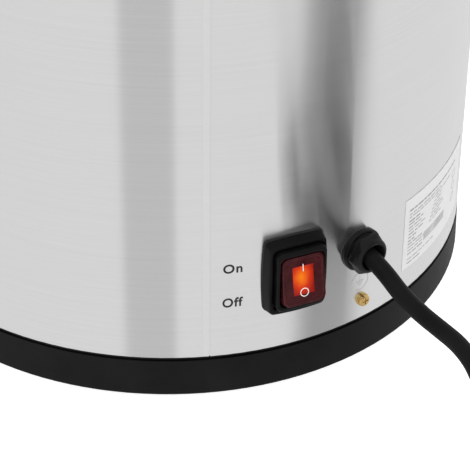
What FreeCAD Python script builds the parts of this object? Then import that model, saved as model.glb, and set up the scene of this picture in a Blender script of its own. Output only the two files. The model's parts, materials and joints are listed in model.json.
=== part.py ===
"""Wet-well soup kettle: steel casing on a moulded base ring, heated well, lift-out pot, two-part lid.

Frame: origin on the floor under the kettle's axis, +Z up. The control knob faces -Y, the mains switch and
the cord face +Y, and the handles lie along X.
"""
import FreeCAD, Part
import math
import os

Vector = FreeCAD.Vector
UP = Vector(0, 0, 1)
DOWN = Vector(0, 0, -1)
ORIGIN = Vector(0, 0, 0)

# Driving dimensions, in millimetres and degrees.
SHELL_RADIUS = 155.0
SHELL_WALL = 0.8
SHELL_BOTTOM = 26.5
SHELL_TOP = 300.0
RING_BOTTOM = 3.0
LEDGE_BOTTOM = 9.0
LEDGE_TOP = 12.0
PLATE_RADIUS = 151.5
PLATE_BOTTOM = 8.0
FOOT_CIRCLE = 125.0
FOOT_ANGLES = (45, 135, 225, 315)
BASE_SCREW_CIRCLE = 144.5
BASE_SCREW_ANGLES = (15, 60, 120, 180, 240, 300)
WELL_RADIUS = 140.0
WELL_FLOOR = 105.0
WELL_WALL = 0.8
POT_RADIUS = 133.0
POT_WALL = 1.0
POT_FLOOR = 113.0
RIM_TOP = SHELL_TOP + WELL_WALL
POT_RIM_TOP = RIM_TOP + 1.0
LID_WALL = 0.8
LID_TOP = 318.8
LID_RIM_RADIUS = 148.0
LID_SPLIT = 0.6
NOTCH_ANGLE = -45.0
NOTCH_CENTRE = 131.0
NOTCH_RADIUS = 15.0
HINGE_AXIS_HEIGHT = LID_TOP + 2.6
HINGE_LENGTH = 120.0
KNUCKLES = 5
PIN_RADIUS = 1.2
LID_KNOB_Y = -64.0
LID_KNOB_HEIGHT = 28.0
SPREADER_THICKNESS = 3.0
ELEMENT_CIRCLE = 85.0
ELEMENT_RADIUS = 3.25
SWITCH_ANGLE = 82.0
SWITCH_HEIGHT = 71.5
ROCKER_PIVOT = 6.0
ROCKER_TILT = 10.0
ROCKER_FACE = 9.7
COVER_THICKNESS = 0.8
LENS = (5.2, -8.4, 6.8)  # half width, bottom and top
GLAND_ANGLE = 96.2
GLAND_HEIGHT = 69.0
EARTH_ANGLE = 97.15
EARTH_HEIGHT = 37.4
KNOB_ANGLE = -90.0
KNOB_HEIGHT = 72.0
LAMP_ANGLE = -71.0
LAMP_HEIGHT = 72.0
SEAM_ANGLE = 66.55
LABEL_START = 107.8
LABEL_END = 133.7
LABEL_BOTTOM = 39.7
LABEL_TOP = 81.8
HANDLE_HEIGHT = 276.0
HANDLE_ANGLES = {"handle_right": 0.0, "handle_left": 180.0}
HANDLE_SCREW_U = 46.0
CORD_DIAMETER = 9.0
COIL_CENTRE = Vector(-72, 320, 0)
COIL_INNER = 36.5
COIL_OUTER = 63.5
COIL_HEIGHT = 17.0

# The cord's route from inside the gland, outward and down to the coil. Its reflection in the casing shows this.
CORD_ROUTE = [
    (-17.0, 157.0, 69.2), (-18.6, 170.2, 66.0), (-20.2, 184.0, 59.0), (-21.8, 198.0, 56.0),
    (-23.4, 212.0, 55.0), (-24.4, 226.0, 54.6), (-23.4, 240.0, 51.4), (-19.8, 253.8, 43.4),
    (-15.0, 266.6, 32.6), (-10.8, 279.2, 21.6), (-8.0, 291.8, 12.4), (-7.4, 304.4, 6.6),
    (-9.2, 316.5, 4.5), (-12.6, 328.4, 4.5), (-16.9, 340.0, 4.5),
]
# The lead from the top of the coil down to the back of the plug.
PLUG_ROUTE = [
    (-41.7, 364.9, 12.4), (-57.9, 373.2, 13.6), (-75.1, 379.1, 15.0), (-92.9, 382.9, 17.4),
    (-111.0, 385.1, 19.0), (-126.1, 386.2, 19.0),
]


# ---------------------------------------------------------------- general helpers

def ring(outer, inner, bottom, top):
    """A plain tube about the Z axis."""
    body = Part.makeCylinder(outer, top - bottom, Vector(0, 0, bottom))
    return body.cut(Part.makeCylinder(inner, top - bottom, Vector(0, 0, bottom)))


def disc(radius, bottom, top, x=0.0, y=0.0):
    return Part.makeCylinder(radius, top - bottom, Vector(x, y, bottom))


def block(x0, x1, y0, y1, z0, z1):
    return Part.makeBox(x1 - x0, y1 - y0, z1 - z0, Vector(x0, y0, z0))


def polar(radius, angle, height=0.0):
    a = math.radians(angle)
    return Vector(radius * math.cos(a), radius * math.sin(a), height)


def corner_arc(before, at, after, tangent_length):
    """Start, middle and end points of the arc that rounds the corner at, and its radius."""
    back = (before - at).normalize()
    ahead = (after - at).normalize()
    half = 0.5 * back.getAngle(ahead)
    radius = tangent_length * math.tan(half)
    bisector = (back + ahead).normalize()
    middle = at + bisector * (radius / math.sin(half) - radius)
    return at + back * tangent_length, middle, at + ahead * tangent_length, radius


def rounded_outline(points, place):
    """A closed wire through (a, b, fillet) points, with each corner rounded to its fillet radius."""
    corners = [place(a, b) for a, b, _ in points]
    edges = []
    ends = []
    for i, (_, _, fillet) in enumerate(points):
        before, at, after = corners[i - 1], corners[i], corners[(i + 1) % len(points)]
        if fillet:
            half = 0.5 * (before - at).getAngle(after - at)
            start, middle, end, _ = corner_arc(before, at, after, fillet / math.tan(half))
            edges.append(Part.Arc(start, middle, end).toShape())
            ends.append((start, end))
        else:
            edges.append(None)
            ends.append((at, at))
    path = []
    for i, arc in enumerate(edges):
        if arc is not None:
            path.append(arc)
        start = ends[i][1]
        end = ends[(i + 1) % len(points)][0]
        if start.distanceToPoint(end) > 1e-6:
            path.append(Part.LineSegment(start, end).toShape())
    return Part.Wire(Part.__sortEdges__(path))


def turned(points):
    """A solid of revolution about Z from an (r, z, fillet) outline."""
    wire = rounded_outline(points, lambda r, z: Vector(r, 0, z))
    return Part.Face(wire).revolve(ORIGIN, UP, 360)


def plate(points, bottom, top):
    """A prism along local Z from an (x, y, fillet) outline."""
    wire = rounded_outline(points, lambda x, y: Vector(x, y, bottom))
    return Part.Face(wire).extrude(Vector(0, 0, top - bottom))


def rectangle(half_x, half_y, fillet=0.0):
    return [(sx * half_x, sy * half_y, fillet) for sx, sy in ((-1, -1), (1, -1), (1, 1), (-1, 1))]


def hexagon(across_flats, fillet=0.0):
    corners = [polar(across_flats / math.sqrt(3.0), angle) for angle in range(30, 390, 60)]
    return [(at.x, at.y, fillet) for at in corners]


def on_wall(shape, angle, height, radius=SHELL_RADIUS):
    """Place a shape made in wall axes: X along the wall, Y up, Z outward, origin on the shell's face."""
    a = math.radians(angle)
    matrix = FreeCAD.Matrix(
        -math.sin(a), 0, math.cos(a), radius * math.cos(a),
        math.cos(a), 0, math.sin(a), radius * math.sin(a),
        0, 1, 0, height,
        0, 0, 0, 1,
    )
    placed = shape.copy()
    placed.Placement = FreeCAD.Placement(matrix).multiply(placed.Placement)
    return placed


def wall_point(u, v, w, angle, height):
    outward = polar(1.0, angle)
    along = Vector(-outward.y, outward.x, 0)
    return outward * (SHELL_RADIUS + w) + along * u + Vector(0, 0, height + v)


def post(radius, low, high, u=0.0, v=0.0):
    """A cylinder along local Z, for parts made in wall axes."""
    return Part.makeCylinder(radius, high - low, Vector(u, v, low))


def inside_wall(radius, bottom=0.0, top=400.0):
    return Part.makeCylinder(radius, top - bottom, Vector(0, 0, bottom))


def tube(points, radius, name=""):
    """A tube along straight runs joined by tangent arcs, each as large as its two runs allow."""
    route = [Vector(*p) for p in points]
    runs = [route[i].distanceToPoint(route[i + 1]) for i in range(len(route) - 1)]
    edges = []
    start = route[0]
    smallest = math.inf
    for i in range(1, len(route) - 1):
        tangent_length = 0.45 * min(runs[i - 1], runs[i])
        begin, middle, end, bend = corner_arc(route[i - 1], route[i], route[i + 1], tangent_length)
        smallest = min(smallest, bend)
        edges.append(Part.LineSegment(start, begin).toShape())
        edges.append(Part.Arc(begin, middle, end).toShape())
        start = end
    edges.append(Part.LineSegment(start, route[-1]).toShape())
    path = Part.Wire(edges)
    section = Part.Wire([Part.Circle(route[0], route[1] - route[0], radius).toShape()])
    solid = path.makePipeShell([section], True, False)
    expected = math.pi * radius * radius * path.Length
    if name:
        share = solid.Volume / expected
        print(f"{name}: length {path.Length:.1f}, tightest bend {smallest:.1f}, volume ratio {share:.4f}")
    return solid


def pan_screw(head_radius, head_height, shank_radius, length):
    """A screw in wall axes: the head's underside at 0, the head outward, the shank inward."""
    head = post(head_radius, 0, head_height)
    rim = [edge for edge in head.Edges if abs(edge.CenterOfMass.z - head_height) < 1e-6]
    head = head.makeFillet(0.45 * head_height, rim)
    slot = Part.makeBox(3 * head_radius, 0.22 * head_radius, 0.5 * head_height,
                        Vector(-1.5 * head_radius, -0.11 * head_radius, 0.6 * head_height))
    cross = slot.fuse(slot.rotated(ORIGIN, UP, 90)).common(post(0.62 * head_radius, 0, 2 * head_height))
    return head.cut(cross).fuse(post(shank_radius, -length, 0)).removeSplitter()


# ---------------------------------------------------------------- casing and base

def outer_shell():
    shell = ring(SHELL_RADIUS, SHELL_RADIUS - SHELL_WALL, SHELL_BOTTOM, SHELL_TOP)
    cutters = [
        on_wall(plate(rectangle(12.2, 15.0, 1.5), -12, 12), SWITCH_ANGLE, SWITCH_HEIGHT),
        on_wall(post(8.1, -12, 12), GLAND_ANGLE, GLAND_HEIGHT),
        on_wall(post(1.6, -12, 12), EARTH_ANGLE, EARTH_HEIGHT),
        on_wall(post(6.0, -12, 12), KNOB_ANGLE, KNOB_HEIGHT),
        on_wall(post(5.1, -12, 12), LAMP_ANGLE, LAMP_HEIGHT),
        on_wall(Part.makeBox(0.6, 400, 0.6, Vector(-0.3, -200, -0.3)), SEAM_ANGLE, 200),
    ]
    cutters += [on_wall(post(2.1, -12, 12, u), KNOB_ANGLE, KNOB_HEIGHT) for u in (-14, 14)]
    cutters += [
        on_wall(post(2.6, -14, 12, u), angle, HANDLE_HEIGHT)
        for angle in HANDLE_ANGLES.values()
        for u in (-HANDLE_SCREW_U, HANDLE_SCREW_U)
    ]
    for cutter in cutters:
        shell = shell.cut(cutter)
    return shell


def base_ring():
    profile = [
        (154.2, RING_BOTTOM, 0.6), (155.7, RING_BOTTOM + 1.5, 1.0), (155.2, 24.4, 0.3), (154.0, 24.4, 0),
        (154.0, 25.7, 0), (155.0, 25.7, 0), (155.0, SHELL_BOTTOM, 0), (153.9, SHELL_BOTTOM, 0),
        (153.9, 32.2, 0.5), (151.9, 32.2, 0.5), (151.9, LEDGE_TOP, 0), (138.0, LEDGE_TOP, 0),
        (138.0, LEDGE_BOTTOM, 0), (152.3, LEDGE_BOTTOM, 0), (152.3, RING_BOTTOM, 0),
    ]
    body = turned(profile)
    for angle in BASE_SCREW_ANGLES:
        at = polar(BASE_SCREW_CIRCLE, angle)
        body = body.fuse(disc(4.5, LEDGE_TOP - 1, 22, at.x, at.y))
        body = body.cut(disc(1.7, LEDGE_BOTTOM, 22, at.x, at.y))
    return body.removeSplitter()


def base_plate():
    body = disc(PLATE_RADIUS, PLATE_BOTTOM, LEDGE_BOTTOM)
    for angle in BASE_SCREW_ANGLES:
        at = polar(BASE_SCREW_CIRCLE, angle)
        body = body.cut(disc(1.9, PLATE_BOTTOM, LEDGE_BOTTOM, at.x, at.y))
    for angle in FOOT_ANGLES:
        at = polar(FOOT_CIRCLE, angle)
        body = body.cut(disc(2.2, PLATE_BOTTOM, LEDGE_BOTTOM, at.x, at.y))
    for row in range(-3, 4):
        slot = plate(rectangle(30, 2, 1.9), PLATE_BOTTOM, LEDGE_BOTTOM)
        slot.translate(Vector(0, row * 9.0 - 40.0, 0))
        body = body.cut(slot)
    return body


def base_screws():
    screws = []
    for angle in BASE_SCREW_ANGLES:
        at = polar(BASE_SCREW_CIRCLE, angle)
        head = Part.makeCone(2.4, 3.6, 1.8, Vector(at.x, at.y, PLATE_BOTTOM - 1.8))
        screws.append(head.fuse(disc(1.65, PLATE_BOTTOM, 20, at.x, at.y)).removeSplitter())
    return Part.makeCompound(screws)


def rubber_feet():
    profile = [
        (2.2, 4.0, 0), (5.0, 4.0, 0), (5.0, 0, 0), (9.6, 0, 0.8),
        (11.2, PLATE_BOTTOM, 0), (2.2, PLATE_BOTTOM, 0),
    ]
    feet = [turned(profile) for _ in FOOT_ANGLES]
    for body, angle in zip(feet, FOOT_ANGLES):
        body.translate(polar(FOOT_CIRCLE, angle))
    return Part.makeCompound(feet)


def foot_screws():
    screws = []
    for angle in FOOT_ANGLES:
        at = polar(FOOT_CIRCLE, angle)
        head = disc(4.2, 1.6, 4.0, at.x, at.y)
        recess = block(at.x - 2.6, at.x + 2.6, at.y - 0.5, at.y + 0.5, 1.6, 2.6)
        screws.append(head.cut(recess).fuse(disc(2.0, 4.0, 14.0, at.x, at.y)).removeSplitter())
    return Part.makeCompound(screws)


def foot_nuts():
    nuts = []
    for angle in FOOT_ANGLES:
        nut = plate(hexagon(7.0), LEDGE_BOTTOM, LEDGE_BOTTOM + 3.2).cut(disc(2.02, LEDGE_BOTTOM, 13.0))
        nut.translate(polar(FOOT_CIRCLE, angle))
        nuts.append(nut)
    return Part.makeCompound(nuts)


# ---------------------------------------------------------------- well, pot, lid

def water_well():
    outer = WELL_RADIUS + WELL_WALL
    under = WELL_FLOOR - WELL_WALL
    profile = [
        (0, WELL_FLOOR, 0), (WELL_RADIUS, WELL_FLOOR, 8), (WELL_RADIUS, RIM_TOP, 2.0),
        (157.2, RIM_TOP, 2.2), (157.2, 292, 0.3), (156.4, 292, 0.3), (156.4, SHELL_TOP, 1.4),
        (outer, SHELL_TOP, 1.2), (outer, under, 8.8), (0, under, 0),
    ]
    return turned(profile)


def inner_pot():
    outer = POT_RADIUS + POT_WALL
    profile = [
        (0, POT_FLOOR, 0), (POT_RADIUS, POT_FLOOR, 10), (POT_RADIUS, POT_RIM_TOP, 2.4),
        (151.0, POT_RIM_TOP, 0.4), (151.0, RIM_TOP, 0.4), (outer, RIM_TOP, 1.4),
        (outer, POT_FLOOR - POT_WALL, 11), (0, POT_FLOOR - POT_WALL, 0),
    ]
    return turned(profile)


def whole_lid():
    sheet = turned([
        (0, LID_TOP, 0), (96, LID_TOP, 14), (128, POT_RIM_TOP + LID_WALL, 8),
        (LID_RIM_RADIUS, POT_RIM_TOP + LID_WALL, 0), (LID_RIM_RADIUS, POT_RIM_TOP, 0),
        (127.4, POT_RIM_TOP, 8.8), (95.4, LID_TOP - LID_WALL, 13.2), (0, LID_TOP - LID_WALL, 0),
    ])
    return sheet.fuse(ring(131.3, 130.5, 295.0, POT_RIM_TOP + 0.4)).removeSplitter()


def lid_rear():
    rear = whole_lid().common(block(-200, 200, LID_SPLIT, 200, 200, 400))
    for x, y in hinge_rivet_places():
        rear = rear.cut(disc(1.55, 300, 330, x, y))
    return rear


def lid_front():
    front = whole_lid().common(block(-200, 200, -200, -LID_SPLIT, 200, 400))
    inner, outer, round_end = NOTCH_CENTRE - NOTCH_RADIUS, LID_RIM_RADIUS + 10, 0.95 * NOTCH_RADIUS
    notch = plate([
        (inner, -NOTCH_RADIUS, round_end), (outer, -NOTCH_RADIUS, 0), (outer, NOTCH_RADIUS, 0),
        (inner, NOTCH_RADIUS, round_end),
    ], 280, 330)
    notch.rotate(ORIGIN, UP, NOTCH_ANGLE)
    front = front.cut(notch).cut(disc(2.6, 300, 330, 0, LID_KNOB_Y))
    for x, y in hinge_rivet_places():
        front = front.cut(disc(1.55, 300, 330, x, -y))
    return front


def hinge_rivet_places():
    return [(x, 10.0) for x in (-48.0, -16.0, 16.0, 48.0)]


def hinge_leaf(side):
    """Leaf on the rear (side 1) or front (side -1) of the lid; the knuckles alternate along the pin."""
    pitch = HINGE_LENGTH / KNUCKLES
    first = 0 if side > 0 else 1
    leaf = block(-HINGE_LENGTH / 2, HINGE_LENGTH / 2, 3.2, 16.0, LID_TOP, LID_TOP + 1.0)
    for i in range(first, KNUCKLES, 2):
        x0 = -HINGE_LENGTH / 2 + i * pitch + 0.2
        x1 = x0 + pitch - 0.4
        knuckle = Part.makeCylinder(2.3, x1 - x0, Vector(x0, 0, HINGE_AXIS_HEIGHT), Vector(1, 0, 0))
        strap = block(x0, x1, 0, 3.4, LID_TOP + 0.3, LID_TOP + 1.3)
        leaf = leaf.fuse(knuckle).fuse(strap)
    start = Vector(-HINGE_LENGTH, 0, HINGE_AXIS_HEIGHT)
    leaf = leaf.cut(Part.makeCylinder(PIN_RADIUS + 0.05, 2 * HINGE_LENGTH, start, Vector(1, 0, 0)))
    for x, y in hinge_rivet_places():
        leaf = leaf.cut(disc(1.55, LID_TOP, LID_TOP + 2, x, y))
    if side < 0:
        leaf = leaf.mirror(ORIGIN, Vector(0, 1, 0))
    return leaf.removeSplitter()


def hinge_pin():
    half = HINGE_LENGTH / 2 + 0.4
    pin = Part.makeCylinder(PIN_RADIUS, 2 * half, Vector(-half, 0, HINGE_AXIS_HEIGHT), Vector(1, 0, 0))
    for x in (-half - 1.0, half):
        pin = pin.fuse(Part.makeCylinder(1.9, 1.0, Vector(x, 0, HINGE_AXIS_HEIGHT), Vector(1, 0, 0)))
    return pin.removeSplitter()


def hinge_rivets(side):
    rivets = []
    for x, y in hinge_rivet_places():
        shank = disc(1.5, LID_TOP - LID_WALL, LID_TOP + 1.0, x, side * y)
        head = Part.makeCone(2.8, 1.8, 0.8, Vector(x, side * y, LID_TOP + 1.0))
        tail = Part.makeCone(1.8, 2.8, 0.8, Vector(x, side * y, LID_TOP - LID_WALL - 0.8))
        rivets.append(shank.fuse(head).fuse(tail).removeSplitter())
    return Part.makeCompound(rivets)


def lid_knob():
    top = LID_TOP + LID_KNOB_HEIGHT
    profile = [
        (0, LID_TOP, 0), (11.0, LID_TOP, 0.6), (8.0, LID_TOP + 10, 5), (18.0, LID_TOP + 17, 2.5),
        (17.0, top, 5), (0, top, 0),
    ]
    knob = turned(profile)
    knob.translate(Vector(0, LID_KNOB_Y, 0))
    return knob.cut(disc(2.5, LID_TOP, LID_TOP + 16, 0, LID_KNOB_Y))


def lid_knob_screw():
    under = LID_TOP - LID_WALL
    head = disc(4.6, under - 2.6, under, 0, LID_KNOB_Y)
    slot = block(-5, 5, LID_KNOB_Y - 0.5, LID_KNOB_Y + 0.5, under - 2.6, under - 1.6)
    return head.cut(slot).fuse(disc(2.45, under, LID_TOP + 15, 0, LID_KNOB_Y)).removeSplitter()


# ---------------------------------------------------------------- heating

def insulation_blanket():
    blanket = ring(152.5, 143.0, 112.0, 288.0)
    for angle in HANDLE_ANGLES.values():
        window = on_wall(plate(rectangle(58, 12.5), -20, 0), angle, HANDLE_HEIGHT)
        blanket = blanket.cut(window)
    return blanket


def spreader_underside():
    return WELL_FLOOR - WELL_WALL - SPREADER_THICKNESS


def heat_spreader():
    return disc(115.0, spreader_underside(), WELL_FLOOR - WELL_WALL).cut(disc(3.4, 90, 110))


def element_legs():
    """Angles at which the ring's two ends turn down."""
    return 62.0, 118.0


def heating_element():
    """The tubular ring with its two ends turned down, and a spade terminal on each end."""
    level = spreader_underside() - ELEMENT_RADIUS - 0.05
    first, last = element_legs()
    start = polar(ELEMENT_CIRCLE, last, level)
    end = polar(ELEMENT_CIRCLE, first, level)
    loop = Part.Arc(start, Vector(0, -ELEMENT_CIRCLE, level), end).toShape()
    edges = [loop]
    bend = 8.0
    for point, turn in ((start, -1), (end, 1)):
        along = UP.cross(point).normalize() * turn
        low = point + along * bend + DOWN * bend
        middle = point + along * (bend * math.sqrt(0.5)) + DOWN * (bend * (1 - math.sqrt(0.5)))
        edges.append(Part.Arc(point, middle, low).toShape())
        edges.append(Part.LineSegment(low, low + DOWN * 6).toShape())
    path = Part.Wire(Part.__sortEdges__(edges))
    first_edge = path.OrderedEdges[0]
    begin = path.OrderedVertexes[0].Point
    other = first_edge.Vertexes[0].Point
    if other.distanceToPoint(begin) < 1e-6:
        other = first_edge.Vertexes[-1].Point
    section = Part.Wire([Part.Circle(begin, other - begin, ELEMENT_RADIUS).toShape()])
    element = path.makePipeShell([section], True, False)
    for angle, turn in zip(element_legs(), (1, -1)):
        point = polar(ELEMENT_CIRCLE, angle)
        end = point + UP.cross(point).normalize() * (bend * turn)
        low = level - bend - 14.0
        tab = block(end.x - 3.1, end.x + 3.1, end.y - 0.4, end.y + 0.4, low, low + 8.5)
        element = element.fuse(tab)
    return element


def well_stud():
    return disc(3.0, 84.0, WELL_FLOOR - WELL_WALL)


def clamp_bar():
    top = spreader_underside() - 2 * ELEMENT_RADIUS - 0.1
    bar = plate(rectangle(98, 11, 4), top - 2.0, top)
    return bar.cut(disc(3.4, 80, 110))


def clamp_nut():
    top = spreader_underside() - 2 * ELEMENT_RADIUS - 2.1
    return plate(hexagon(10.0), top - 5.0, top).cut(disc(3.02, 80, 110))


def thermal_cutout():
    top = spreader_underside()
    body = disc(12.0, top - 1.2, top, 0, 40).fuse(disc(9.0, top - 9.0, top - 1.2, 0, 40))
    for x in (-5.0, 5.0):
        body = body.fuse(block(x - 2.4, x + 2.4, 39.6, 40.4, top - 16.0, top - 8.8))
    return body.removeSplitter()


def thermostat_body():
    case = plate(rectangle(17, 20, 2), -42, -4.9)
    flange = plate(rectangle(19, 12, 2), -5.0, -3.0)
    collar = post(4.6, -3.2, 1.6)
    body = case.fuse(flange).fuse(collar)
    body = body.cut(post(3.05, -24, 4))
    for u in (-14, 14):
        body = body.cut(post(1.95, -12, 0, u))
    for v in (-9, 9):
        body = body.fuse(block(-3.1, 3.1, v - 0.4, v + 0.4, -50, -41.9))
    return on_wall(body.removeSplitter(), KNOB_ANGLE, KNOB_HEIGHT)


def thermostat_screws():
    screws = [on_wall(pan_screw(3.4, 1.9, 1.9, 9.0), KNOB_ANGLE, KNOB_HEIGHT) for _ in (0, 1)]
    along = wall_point(1, 0, 0, KNOB_ANGLE, 0) - wall_point(0, 0, 0, KNOB_ANGLE, 0)
    for screw, u in zip(screws, (-14, 14)):
        screw.translate(along * u)
    return Part.makeCompound(screws)


def bulb_level():
    return spreader_underside() - 3.1


def thermostat_bulb():
    """The sensing bulb and the capillary that joins it to the thermostat."""
    level = bulb_level()
    bulb = Part.makeCylinder(3.0, 80, Vector(-40, -45, level), Vector(1, 0, 0))
    capillary = tube([
        (39.0, -45, level), (56, -45, level - 1), (62, -58, level - 6), (52, -80, level - 12),
        (30, -92, 84), (18, -98, 78), (12, -112.9, 76),
    ], 0.9)
    return bulb.fuse(capillary)


def thermostat_shaft():
    return on_wall(post(3.0, -22, 13.0), KNOB_ANGLE, KNOB_HEIGHT)


def control_knob():
    """A skirted knob: revolved about its own axis, with finger flutes round the grip."""
    profile = [
        (0, 3.2, 0), (22.5, 3.2, 0.4), (22.5, 6.0, 1.0), (18.6, 7.4, 0.6), (17.6, 17.0, 1.6), (0, 17.0, 0),
    ]
    knob = turned(profile)
    for i in range(12):
        at = polar(20.6, 15 + 30 * i)
        knob = knob.cut(post(3.4, 7.8, 20, at.x, at.y))
    knob = knob.cut(post(3.0, 3.0, 13.0)).cut(Part.makeBox(1.6, 12.0, 2, Vector(-0.8, 4.0, 16.2)))
    return on_wall(knob, KNOB_ANGLE, KNOB_HEIGHT)


def knob_pointer():
    return on_wall(Part.makeBox(1.6, 12.0, 0.8, Vector(-0.8, 4.0, 16.2)), KNOB_ANGLE, KNOB_HEIGHT)


def dial_plate():
    face = on_wall(plate(rectangle(33, 33, 6), -8, 6), KNOB_ANGLE, KNOB_HEIGHT)
    sheet = ring(SHELL_RADIUS + 0.5, SHELL_RADIUS + 0.02, 30, 120).common(face)
    sheet = sheet.cut(on_wall(post(6.0, -12, 12), KNOB_ANGLE, KNOB_HEIGHT))
    for u in (-14, 14):
        sheet = sheet.cut(on_wall(post(3.7, -12, 12, u), KNOB_ANGLE, KNOB_HEIGHT))
    return sheet


def lamp_lens():
    profile = [(0, 0.9, 0), (6.6, 0.9, 0.3), (6.6, 2.0, 0.4), (4.8, 4.4, 1.5), (0, 4.6, 0)]
    return on_wall(turned(profile), LAMP_ANGLE, LAMP_HEIGHT)


def lamp_body():
    body = post(4.9, -22, 0.8).fuse(post(6.6, -0.1, 0.8))
    for u in (-2.2, 2.2):
        body = body.fuse(block(u - 0.4, u + 0.4, -1.6, 1.6, -29, -21.9))
    body = on_wall(body.removeSplitter(), LAMP_ANGLE, LAMP_HEIGHT)
    wall = ring(SHELL_RADIUS + 0.02, SHELL_RADIUS - SHELL_WALL - 0.02, 40, 110)
    hole = on_wall(post(5.1, -12, 12), LAMP_ANGLE, LAMP_HEIGHT)
    return body.cut(wall.cut(hole))


# ---------------------------------------------------------------- mains switch

def on_switch(shape):
    return on_wall(shape, SWITCH_ANGLE, SWITCH_HEIGHT)


def bulged(half_u, half_v, bulge, corner, level):
    """A rectangle with gently bowed sides and cut corners, as a wire at one level."""
    corners = [(1, -1), (1, 1), (-1, 1), (-1, -1)]
    points = []
    for su, sv in corners:
        near_v = Vector(su * half_u, sv * (half_v - corner), level)
        near_u = Vector(su * (half_u - corner), sv * half_v, level)
        points += [near_u, near_v] if su * sv < 0 else [near_v, near_u]
    edges = []
    for i in range(0, 8, 2):
        edges.append(Part.LineSegment(points[i], points[i + 1]).toShape())
        start, end = points[i + 1], points[(i + 2) % 8]
        middle = (start + end) * 0.5
        outward = Vector(middle.x, middle.y, 0).normalize()
        edges.append(Part.Arc(start, middle + outward * bulge, end).toShape())
    return Part.Wire(edges)


def switch_gasket():
    slab = Part.Face(bulged(16.0, 20.4, 1.0, 2.0, -6)).extrude(Vector(0, 0, 12))
    sheet = ring(SHELL_RADIUS + 1.2, SHELL_RADIUS + 0.02, 30, 120).common(on_switch(slab))
    return sheet.cut(on_switch(plate(rectangle(12.2, 15.0, 1.5), -12, 12)))


def switch_frame():
    base = bulged(15.6, 20.0, 1.1, 1.6, -3.0)
    front = bulged(14.6, 19.0, 0.9, 1.8, 6.2)
    body = Part.makeLoft([base, front], True)
    body = body.cut(plate(rectangle(12.1, 14.9, 1.2), -12, 12))
    moat = plate(rectangle(13.9, 17.2, 3.0), 4.4, 8)
    body = on_switch(body.cut(moat))
    return body.cut(inside_wall(SHELL_RADIUS + 1.21))


def switch_bezel():
    """The raised rim that holds the splash cover, seated in the frame's recess."""
    rim = plate(rectangle(13.3, 16.6, 3.0), 4.4, 9.6)
    top_edges = [e for e in rim.Edges if abs(e.CenterOfMass.z - 9.6) < 1e-6]
    rim = rim.makeFillet(1.2, top_edges)
    return on_switch(rim.cut(plate(rectangle(11.3, 13.5, 1.6), 0, 12)))


def switch_body():
    case = plate(rectangle(11.8, 14.6, 1.0), -26, 4.3)
    case = case.cut(plate(rectangle(11.2, 13.7, 0.6), -3.4, 6))
    return on_switch(case)


def switch_terminals():
    tabs = []
    for u in (-5.5, 5.5):
        for v in (-8.0, 8.0):
            tabs.append(on_switch(Part.makeBox(0.8, 6.3, 9.0, Vector(u - 0.4, v - 3.15, -35.0))))
    return Part.makeCompound(tabs)


def rocker_profile(points, half_u):
    """A prism along the rocker's width from a (v, w) outline, tilted with its upper half pressed in."""
    wire = Part.makePolygon([Vector(-half_u, v, w) for v, w in points + points[:1]])
    solid = Part.Face(wire).extrude(Vector(2 * half_u, 0, 0))
    solid.rotate(Vector(0, 0, ROCKER_PIVOT), Vector(1, 0, 0), -ROCKER_TILT)
    return solid


def face_rise(v):
    """The face is a shallow V: it rises away from its centre line."""
    return abs(v) * math.tan(math.radians(2.5))


def switch_rocker():
    top = ROCKER_FACE
    end = 12.2
    outline = [
        (-end, top + face_rise(end)), (-end, top - 2.2), (-7.0, 3.0), (-2.0, 0.4), (2.0, 0.4), (7.0, 3.0),
        (end, top - 2.2), (end, top + face_rise(end)), (0, top),
    ]
    return on_switch(rocker_profile(outline, 10.6))


def cover_strip(half_u, bottom, top, low, high):
    """A strip of the rocker's cover from v bottom to top, between two levels above the pivot's plane."""
    outline = [
        (bottom, low + face_rise(bottom)), (0, low), (top, low + face_rise(top)),
        (top, high + face_rise(top)), (0, high), (bottom, high + face_rise(bottom)),
    ]
    return rocker_profile(outline, half_u)


def switch_membrane():
    cover = cover_strip(10.6, -12.2, 12.2, ROCKER_FACE, ROCKER_FACE + COVER_THICKNESS)
    return on_switch(cover.cut(cover_strip(*LENS, ROCKER_FACE - 1, ROCKER_FACE + 2)))


def switch_lens():
    return on_switch(cover_strip(*LENS, ROCKER_FACE, ROCKER_FACE + COVER_THICKNESS))


# ---------------------------------------------------------------- cable entry and bonding screw

def on_gland(shape):
    return on_wall(shape, GLAND_ANGLE, GLAND_HEIGHT)


def gland_body():
    flange = on_gland(post(11.3, -4, 2.0)).cut(inside_wall(SHELL_RADIUS + 0.02))
    stem = on_gland(post(7.9, -12, 3.0).fuse(post(9.2, 1.0, 3.0)))
    return flange.fuse(stem).cut(on_gland(post(7.0, -20, 12))).removeSplitter()


def gland_nut():
    nut = plate(hexagon(19.4, 1.0), 3.1, 9.5)
    cone = Part.makeCone(11.6, 8.8, 6.6, Vector(0, 0, 3.0))
    nut = nut.common(cone).cut(post(5.6, 0, 12)).cut(Part.makeCone(5.6, 7.0, 4.0, Vector(0, 0, 5.5)))
    return on_gland(nut)


def gland_seal():
    return on_gland(post(6.95, -11, 3.0).cut(post(4.55, -20, 12)))


def gland_locknut():
    nut = plate(hexagon(21.0), -6.6, -1.9)
    return on_gland(nut.cut(post(7.95, -12, 12)))


def cord_tail():
    return on_gland(post(4.5, -27.0, 2.0))


def earth_screw():
    return on_wall(pan_screw(3.1, 1.7, 1.45, 12.0), EARTH_ANGLE, EARTH_HEIGHT, SHELL_RADIUS + 0.9)


def earth_nut_and_washers():
    """The washer under the screw's head, and the washer and nut inside the shell."""
    outer = post(3.4, 0.02, 0.88)
    inner = post(3.4, -1.9, -1.0)
    nut = plate(hexagon(5.5), -5.0, -2.0)
    pieces = [piece.cut(post(1.5, -12, 2)) for piece in (outer, inner, nut)]
    return Part.makeCompound([on_wall(piece, EARTH_ANGLE, EARTH_HEIGHT) for piece in pieces])


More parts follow.
